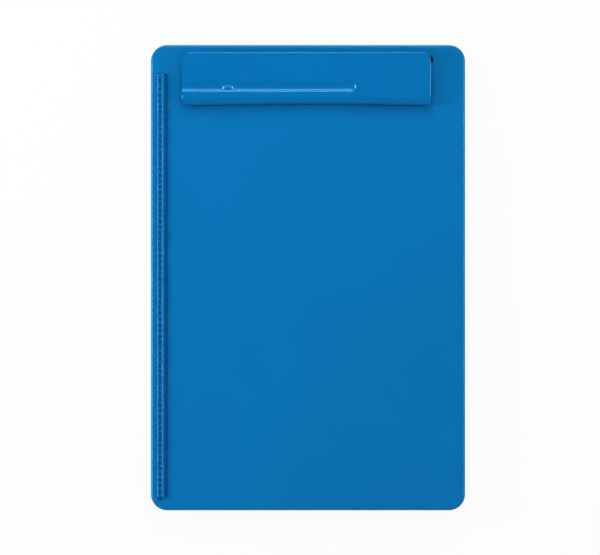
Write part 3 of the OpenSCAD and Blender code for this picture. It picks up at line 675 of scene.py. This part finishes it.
rivets = grown(
    "clip_rivet_set", riveting, Rivet=rivet_form, Middle=CLIP_MIDDLE * MM,
    Front_half=RIVET.front_half * MM, Front_y=RIVET.front_y * MM,
    Rear_half=RIVET.rear_half * MM, Rear_y=RIVET.rear_y * MM, Material=bright_steel)
bpy.data.objects.remove(rivet_form)
dress(rivets, bright_steel, "bright_steel", "clip_rivets", body="lid_body")

# %% [markdown]
# ### Torsion springs
# Each spring is one wire: a straight leg on the base plate, a close coil round the pivot rod,
# and a second leg under the lever. The path is worked out as points along a helix, and the tree
# runs a round wire along it.

# %% Sizes of the springs, in millimetres
PIVOT = Sizes(y=148.9, z=27.0)
SPRING = Sizes(
    wire=0.5, sides=14, coil=3.15, turns=10.5, steps_per_turn=40, pitch=1.25,
    leg=7.5, low=-3.27, high=3.47, start=32.95)


# %% The path of the wire
def wire_path(side):
    """Points of a spring's wire in metres; side is 1 for the right spring, -1 for the left one."""
    steps = round(SPRING.turns * SPRING.steps_per_turn)
    length = SPRING.turns * SPRING.pitch
    path = [(0.0, SPRING.leg, SPRING.low),
            (0.0, SPRING.leg / 2, (SPRING.low - SPRING.coil) / 2)]
    for i in range(steps + 1):
        turn = SPRING.turns * i / steps
        angle = math.radians(270 - 360 * turn)
        path.append((turn * SPRING.pitch, SPRING.coil * math.cos(angle),
                     SPRING.coil * math.sin(angle)))
    path += [(length, SPRING.leg / 2, (SPRING.high + SPRING.coil) / 2),
             (length, SPRING.leg, SPRING.high)]
    return [spot(CLIP_MIDDLE + side * (SPRING.start + x), PIVOT.y + y, PIVOT.z + z)
            for x, y, z in path]


def path_curve(name, points, closed=False):
    """A curve object of straight steps through points."""
    data = bpy.data.curves.new(name, "CURVE")
    data.dimensions = "3D"
    line = data.splines.new("POLY")
    line.points.add(len(points) - 1)
    for point, place in zip(line.points, points):
        point.co = (*place, 1)
    line.use_cyclic_u = closed
    return new_piece(name, data)


# %% [markdown]
# One tree serves both springs: it takes the path as an object, and a circle is its section.

# %% Tree: wire along a path
drawing, sizes = growing_tree(
    "drawn wire", Path=("Object", None), Wire_radius=("Float", 0.0005), Sides=("Int", 12),
    Material=("Material", bright_steel))
path = add(drawing, "GeometryNodeObjectInfo", {"Object": sizes["Path"]})
section = add(drawing, "GeometryNodeCurvePrimitiveCircle", {
    "Resolution": sizes["Sides"], "Radius": sizes["Wire radius"]})
wire = add(drawing, "GeometryNodeCurveToMesh", {
    "Curve": path.outputs["Geometry"], "Profile Curve": section.outputs[0], "Fill Caps": True})
close_tree(drawing, [wire.outputs[0]], sizes["Material"])

# %% Both springs
for side, hand in ((-1, "left"), (1, "right")):
    route = path_curve("wire_route", wire_path(side))
    spring = grown(hand + "_torsion_spring", drawing, Path=route, Sides=SPRING.sides,
                   Wire_radius=SPRING.wire * MM, Material=bright_steel)
    bpy.data.objects.remove(route)
    near = CLIP_MIDDLE + side * (SPRING.start + SPRING.wire)
    dress(spring, bright_steel, "bright_steel", "spring_" + hand)
    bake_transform(spring)

# %% [markdown]
# ## The paper edge
# The raised edge is a long moulded channel with two rails and a ladder of small bars that part
# its scale cells. It is made as it is drawn: the tree sweeps the channel's outline along a line,
# sets the bars in it at the cell pitch, and closes it with two blocks at the head and one at the
# foot. It adds the two tongues that snap into the lid, and a low stub that fills the open slot
# behind the head.

# %% Sizes of the paper edge, in millimetres
EDGE = Sizes(
    x=-111.35, wide=5.75, top=25.0, face=22.0, low=21.4, panel=19.6, head_y=149.75, foot_y=-161.45,
    rail_out=1.05, rail_in=2.1, bevel_in=0.8, bevel_drop=2.0, crest=0.4, trough=1.5,
    outline_turn=0.3, pitch=4.233, bar=1.5, bar_rise=1.3, bar_turn=0.2,
    head=3.2, head_bar=1.35, foot=1.4, inset=0.05, block_drop=0.07,
    tongue=2.6, tongue_long=3.0, tongue_x=-110.35, stub_long=1.7, stub_out=0.3, stub_drop=0.2)
trough_long = EDGE.head_y - EDGE.head - EDGE.foot_y - EDGE.foot
cells = math.floor(trough_long / EDGE.pitch)
print("scale cells:", cells)


# %% Outline of the channel
def rounded_outline(corners, radius, steps=3):
    """A closed outline through 2-D corners, each turned with a short curve of about radius."""
    outline = []
    for i, corner in enumerate(corners):
        here, before = Vector(corner), Vector(corners[i - 1])
        after = Vector(corners[(i + 1) % len(corners)])
        into, out = (before - here).normalized(), (after - here).normalized()
        half = into.angle(out) / 2
        side = min((before - here).length, (after - here).length)
        reach = min(radius / math.tan(half), 0.45 * side)
        a, b = here + into * reach, here + out * reach
        for k in range(steps + 1):
            t = k / steps
            outline.append((1 - t) ** 2 * a + 2 * t * (1 - t) * here + t * t * b)
    return outline


wall_out, wall_in = EDGE.rail_out, EDGE.wide - EDGE.rail_in
tall, seat = EDGE.top - EDGE.face, EDGE.low - EDGE.face
crest, slope, drop = EDGE.crest, EDGE.bevel_in, EDGE.bevel_drop
channel = rounded_outline([
    (0, seat), (EDGE.wide, seat), (EDGE.wide, tall - drop),
    (EDGE.wide - slope, tall), (wall_in + crest, tall), (wall_in, tall - crest),
    (wall_in, tall - EDGE.trough), (wall_out, tall - EDGE.trough), (wall_out, tall),
    (crest, tall), (0, tall - crest)], EDGE.outline_turn)
channel_curve = path_curve("channel_outline", [spot(x, z, 0) for x, z in channel], closed=True)
print("channel outline:", len(channel), "points")


# %% A cross bar, as a branch of a tree
def cross_bar(tree, length, height, width, rounding):
    """Nodes for a bar along X that starts at the origin, rounded along its four long edges."""
    end = add(tree, "GeometryNodeCurvePrimitiveQuadrilateral", {"Width": length, "Height": height})
    soft = add(tree, "GeometryNodeFilletCurve", {
        "Curve": end.outputs[0], "Radius": rounding, "Count": 3}, mode="POLY")
    reach = add(tree, "ShaderNodeCombineXYZ", {"X": width})
    line = add(tree, "GeometryNodeCurvePrimitiveLine", {"End": reach.outputs[0]})
    return add(tree, "GeometryNodeCurveToMesh", {
        "Curve": line.outputs[0], "Profile Curve": soft.outputs[0], "Fill Caps": True}).outputs[0]


# %% Tree: channel, bars, end blocks and tongues
ladder, sizes = growing_tree(
    "scale ladder", Outline=("Object", channel_curve), Bars=("Int", 71), Pitch=("Float", 0.004),
    Bar_length=("Float", 0.0016), Bar_height=("Float", 0.0018), Width=("Float", 0.003),
    Head_length=("Float", 0.0015), Foot_length=("Float", 0.0014), Block_height=("Float", 0.003),
    Tongue_length=("Float", 0.003), Stub_length=("Float", 0.002),
    Tongue_height=("Float", 0.0024), Tongue_width=("Float", 0.0026),
    Rounding=("Float", 0.0002), Material=("Material", rail_plastic),
    **{place: ("Vector", None) for place in (
        "Head", "Foot", "First_bar", "Head_block", "Neck_block", "Foot_block",
        "Head_tongue", "Foot_tongue", "Stub")})
track = add(ladder, "GeometryNodeCurvePrimitiveLine", {
    "Start": sizes["Head"], "End": sizes["Foot"]})
upright = add(ladder, "GeometryNodeSetCurveTilt", {"Curve": track.outputs[0], "Tilt": math.pi})
section = add(ladder, "GeometryNodeObjectInfo", {"Object": sizes["Outline"]})
swept = add(ladder, "GeometryNodeCurveToMesh", {
    "Curve": upright.outputs[0], "Profile Curve": section.outputs["Geometry"], "Fill Caps": True})
down = maths(ladder, "MULTIPLY", sizes["Pitch"], -1.0)
stride = add(ladder, "ShaderNodeCombineXYZ", {"Y": down})
places = add(ladder, "GeometryNodeMeshLine", {
    "Count": sizes["Bars"], "Start Location": sizes["First bar"], "Offset": stride.outputs[0]})
bar = cross_bar(ladder, sizes["Bar length"], sizes["Bar height"], sizes["Width"], sizes["Rounding"])
bars = add(ladder, "GeometryNodeInstanceOnPoints", {"Points": places.outputs[0], "Instance": bar})
parts = [swept.outputs[0], bars.outputs[0]]
for length, height, width, place in (
        ("Head length", "Block height", "Width", "Head block"),
        ("Head length", "Block height", "Width", "Neck block"),
        ("Foot length", "Block height", "Width", "Foot block"),
        ("Tongue length", "Tongue height", "Tongue width", "Head tongue"),
        ("Tongue length", "Tongue height", "Tongue width", "Foot tongue"),
        ("Stub length", "Tongue height", "Tongue width", "Stub")):
    block = cross_bar(ladder, sizes[length], sizes[height], sizes[width], sizes["Rounding"])
    parts.append(add(ladder, "GeometryNodeTransform", {
        "Geometry": block, "Translation": sizes[place]}).outputs[0])
close_tree(ladder, parts, sizes["Material"])

# %% Grow the paper edge
SUNK = 0.5   # how far bars and blocks reach into the rails, so that no gap shows
bar_x = EDGE.x + wall_out - SUNK
block_z = EDGE.top - EDGE.trough / 2 - SUNK / 2 - EDGE.block_drop
tongue_z = (EDGE.low + EDGE.panel) / 2 + SUNK / 4
last_bar = EDGE.foot_y + EDGE.foot + EDGE.pitch
to_tongue = EDGE.foot + EDGE.tongue_long / 2

paper_edge = grown(
    "paper_edge_ladder", ladder, Outline=channel_curve,
    Head=spot(EDGE.x, EDGE.head_y, EDGE.face), Foot=spot(EDGE.x, EDGE.foot_y, EDGE.face),
    Bars=cells - 1, Pitch=EDGE.pitch * MM, Bar_length=EDGE.bar * MM,
    Bar_height=2 * EDGE.bar_rise * MM, Width=(wall_in - wall_out + 2 * SUNK) * MM,
    First_bar=spot(bar_x, last_bar + (cells - 2) * EDGE.pitch, EDGE.top - EDGE.trough),
    Head_length=EDGE.head_bar * MM, Foot_length=(EDGE.foot - EDGE.inset) * MM,
    Block_height=(EDGE.trough + SUNK) * MM,
    Head_block=spot(bar_x, EDGE.head_y - EDGE.inset - EDGE.head_bar / 2, block_z),
    Neck_block=spot(bar_x, EDGE.head_y - EDGE.head + EDGE.head_bar / 2, block_z),
    Foot_block=spot(bar_x, EDGE.foot_y + EDGE.foot / 2, block_z),
    Tongue_length=EDGE.tongue_long * MM, Stub_length=EDGE.stub_long * MM,
    Tongue_height=(EDGE.low - EDGE.panel + SUNK / 2) * MM, Tongue_width=EDGE.tongue * MM,
    Head_tongue=spot(EDGE.tongue_x, EDGE.head_y - to_tongue, tongue_z),
    Stub=spot(EDGE.tongue_x, EDGE.head_y + EDGE.stub_out, tongue_z - EDGE.stub_drop),
    Foot_tongue=spot(EDGE.tongue_x, EDGE.foot_y + to_tongue, tongue_z),
    Rounding=EDGE.bar_turn * MM, Material=rail_plastic)
bpy.data.objects.remove(channel_curve)
dress(paper_edge, rail_plastic, "case_plastic", "paper_edge", body="lid_body")

# %% [markdown]
# ## The lever
# The lever is one sheet of steel, pressed in a single stroke: flat on top and rolled down to a
# lip in front. A groove for a pen opens to the left and has a round end on the right. Its front
# wall is steeper than its rear one, and a small nib with sloping sides that stands on its floor
# keeps the pen from rolling out. The lip is bowed, with its ends nearer the foot of the board
# than its middle, and its left end is cut back a little.
#
# The shape follows a rule, so a fine grid is laid over it. Each row is a place along the sheet,
# from the rear edge over the roll and down the lip, and each column is a place across it. The
# groove and the nib push the grid down and up. The rim droops a little behind, on the right and
# at the front of the left side, as it does where a die has cut it. Solidify gives the sheet its
# thickness, and gives the cut rim material number 1, so it is dressed as a rubbed edge.

# %% Sizes of the lever, in millimetres
LEVER = Sizes(
    middle=-1.2, half=91.5, lip=127.7, rear=165.75, bow=1.0, cut=2.4, left_from=135.0,
    top=33.0, sheet=1.0, roll=5.8, roll_steps=18, foot=22.7,
    rear_corner=6.7, lip_corner=3.5, lip_steps=10, droop=0.8, droop_round=1.0)
# A wall of the groove is given as its slope in degrees and the radius where it meets the floor.
GROOVE = Sizes(
    y=140.45, half=3.8, deep=0.9, end=31.6, rim=0.12, blunt=2.6,
    front=(25.0, 0.9), rear=(20.0, 2.4), end_wall=(30.0, 0.9))
NIB = Sizes(
    x=-58.9, y=139.5, half_x=4.2, half_y=1.5, lean_x=28.0, lean_y=50.0, rise=1.05, blend=0.3)
print("lever width:", 2 * LEVER.half, "mm")


# %% Pressed shape of the sheet
def soft_min(a, b, blend):
    """The smaller of two heights, with a smooth turn from one to the other."""
    h = max(0.0, 1 - abs(a - b) / blend)
    return min(a, b) - h * h * blend / 4


def groove_shape(away, sideways):
    """Height in the groove at a distance away from its middle line, in millimetres.

    sideways is 1 for a place straight behind that line, -1 in front of it and 0 beyond its end.
    """
    wall, bend = GROOVE.end_wall
    side_wall, side_bend = GROOVE.rear if sideways > 0 else GROOVE.front
    wall = math.radians(wall + (side_wall - wall) * abs(sideways))
    bend += (side_bend - bend) * abs(sideways)
    straight = (GROOVE.deep - bend * (1 - math.cos(wall))) / math.tan(wall)
    up = away - (GROOVE.half - straight - bend * math.sin(wall))
    if up <= 0:
        return -GROOVE.deep
    if up < bend * math.sin(wall):
        return -GROOVE.deep + bend - math.sqrt(bend ** 2 - up ** 2)
    return (away - GROOVE.half) * math.tan(wall)


def pressed(x, y):
    """How far the flat sheet is pushed up at a place, in millimetres, or down if negative."""
    beyond, across = max(0.0, x - GROOVE.end), y - GROOVE.y
    blunt = GROOVE.blunt
    away = (beyond ** blunt + abs(across) ** blunt) ** (1 / blunt)
    height = soft_min(0.0, groove_shape(away, across / max(away, 0.001)), GROOVE.rim)
    end_wall = (NIB.half_x - abs(x - NIB.x)) * math.tan(math.radians(NIB.lean_x))
    side_wall = (NIB.half_y - abs(y - NIB.y)) * math.tan(math.radians(NIB.lean_y))
    nib = soft_min(soft_min(end_wall, side_wall, NIB.blend), NIB.rise, NIB.blend)
    return -soft_min(-height, GROOVE.deep - nib, NIB.blend)


def drooped(gap):
    """How far the rim hangs down at a distance from the edge of the sheet."""
    if gap >= LEVER.droop:
        return 0.0
    return math.sqrt(LEVER.droop_round ** 2 - (LEVER.droop - gap) ** 2) - LEVER.droop_round


# %% Rows along the sheet and columns across it
def steps_between(*stops):
    """Places through stops, given as (place, step), in even steps of about step after each."""
    places = []
    for (a, step), (b, _) in zip(stops, stops[1:]):
        count = max(1, round(abs(b - a) / step))
        places += [a + (b - a) * i / count for i in range(count)]
    return places + [stops[-1][0]]


# Lines of the grid are close at the rim, over the walls and end of the groove and at the nib.
RIM_GAPS = (0.0, 0.12, 0.25, 0.4, 0.55, 0.7, 0.85, 1.0, 1.2)
rear, turn, turn_lip = LEVER.rear, LEVER.rear_corner, LEVER.lip_corner
flat_front = LEVER.lip + LEVER.roll
rim_rows = [rear - gap for gap in RIM_GAPS]
corner_rows = [rear - turn + turn * math.sin(math.radians(a)) for a in range(50, -1, -5)]
flat_rows = steps_between(
    (rear - turn, 1.6), (GROOVE.y + 5, 0.16), (GROOVE.y + 3, 0.22),
    (GROOVE.y - 3, 0.16), (GROOVE.y - 5, 0.4), (flat_front, 0.4))


def half_width(y):
    """Half the sheet's width at a place on the flat, where the rear corners are round."""
    over = max(0.0, y - (rear - turn))
    return LEVER.half - turn + math.sqrt(max(0.0, turn ** 2 - over ** 2))


# A row is its place, its height, half its width, and how far the sheet has turned down there.
rows = [(y, LEVER.top, half_width(y), 0.0) for y in rim_rows + corner_rows + flat_rows[1:]]
for i in range(1, LEVER.roll_steps + 1):
    angle = math.radians(90 * i / LEVER.roll_steps)
    rows.append((flat_front - LEVER.roll * math.sin(angle),
                 LEVER.top - LEVER.roll + LEVER.roll * math.cos(angle), LEVER.half, angle))
for i in range(LEVER.lip_steps + 1):
    angle = math.radians(90 * i / LEVER.lip_steps)
    rows.append((LEVER.lip, LEVER.foot + turn_lip - turn_lip * math.sin(angle),
                 LEVER.half - turn_lip + turn_lip * math.cos(angle), math.radians(90)))

nib_x, groove_end = NIB.x - LEVER.middle, GROOVE.end - LEVER.middle
inner_columns = steps_between(
    (-LEVER.half + RIM_GAPS[-1], 1.4), (nib_x - 5, 0.25), (nib_x + 5, 1.5),
    (groove_end - 2, 0.25), (groove_end + 5, 1.5), (LEVER.half - RIM_GAPS[-1], 1.4))
columns = [-LEVER.half + gap for gap in RIM_GAPS[:-1]] + inner_columns \
    + [LEVER.half - gap for gap in RIM_GAPS[-2::-1]]
print("lever grid:", len(rows), "rows by", len(columns), "columns")

# %% Build the lever
built = bmesh.new()
grid = []
for y, z, half, angle in rows:
    line = []
    turned = math.sin(angle)
    for place in columns:
        share = place / LEVER.half
        side = share * (half - (LEVER.cut * turned ** 3 if share < 0 else 0.0))
        x = LEVER.middle + side
        gap = min(half - side, rear - y)
        if rear - y < turn and side > LEVER.half - turn:
            gap = turn - math.hypot(side - (LEVER.half - turn), y - (rear - turn))
        low = drooped(gap) * (1 - turned)
        if y < LEVER.left_from:
            low = min(low, drooped(half + side) * min(1.0, LEVER.left_from - y) * (1 - turned ** 2))
        if not angle:
            low += pressed(x, y)
        ahead = LEVER.bow * turned * share ** 2
        line.append(built.verts.new(spot(x, y - ahead - turned * low, z + math.cos(angle) * low)))
    grid.append(line)
for upper, lower in zip(grid, grid[1:]):
    for k in range(len(columns) - 1):
        built.faces.new((upper[k], lower[k], lower[k + 1], upper[k + 1]))
lever = built_piece("pressed_lever", built)
two_slots(lever)
thicken = lever.modifiers.new("sheet", "SOLIDIFY")
thicken.thickness = LEVER.sheet * MM
thicken.offset = -1.0
thicken.material_offset_rim = 1
settle(lever)
dress(lever, lever_paint, "lever_paint", "clip_lever", body="lever_body", smooth=60)

# %% [markdown]
# ### Grip strip
# A strip of black rubber is stuck inside the lip. Its underside has lengthwise teeth that bite
# the paper. In front of them a thin black toe reaches forward under the lip. The toe is painted
# shade: a black sliver that stands for the shadow line under the lip. The strip is lofted through
# outlines that follow the bow of the lip. The toe stops short of both ends.

# %% Grip strip, sizes in millimetres
# The toe sizes draw a black sliver in front of the teeth: painted shade for the lip's shadow line.
GRIP = Sizes(
    y=129.0, thick=2.4, low=22.1, high=25.6, half=88.1, teeth=3, tooth=0.45, turn=0.12,
    toe=1.65, no_toe=0.05, toe_top=22.62, toe_low=22.2, toe_start=-0.97, toe_stop=0.99)
TOOTH = ((0.12, 1), (0.32, 0), (0.68, 0), (0.88, 1))   # share of the pitch, share of the height
front, back = GRIP.y, GRIP.y + GRIP.thick
pitch, root = GRIP.thick / GRIP.teeth, GRIP.low + GRIP.tooth
teeth = [(front + (i + share) * pitch, GRIP.low + up * GRIP.tooth)
         for i in range(GRIP.teeth) for share, up in TOOTH]


def grip_outline(toe):
    """Points across the strip, with a black foot of the given reach under the lip: painted shade.
    """
    toe_top, toe_low = GRIP.toe_top, GRIP.toe_low
    foot = [(front, toe_top), (front - toe, toe_top), (front - toe, toe_low),
            (front + GRIP.no_toe, toe_low)]
    corners = [(front, GRIP.high)] + foot + teeth + [(back, root), (back, GRIP.high)]
    return rounded_outline(corners, GRIP.turn, 2)


# Where the toe reaches forward, its black rubber paints in the shadow line under the lip.
outlines = []
for share in [-1.0, -0.975, -0.965] + [i / 12 for i in range(-11, 12)] + [0.985, 0.995, 1.0]:
    toe = GRIP.toe if GRIP.toe_start < share < GRIP.toe_stop else GRIP.no_toe
    outlines.append([spot(CLIP_MIDDLE + share * GRIP.half, y - LEVER.bow * share ** 2, z)
                     for y, z in grip_outline(toe)])
grip = round_edges(lofted("rubber_grip", outlines), 0.1 * MM, corner=60)
dress(grip, grip_rubber, "grip_rubber", "grip_strip", body="lever_body")
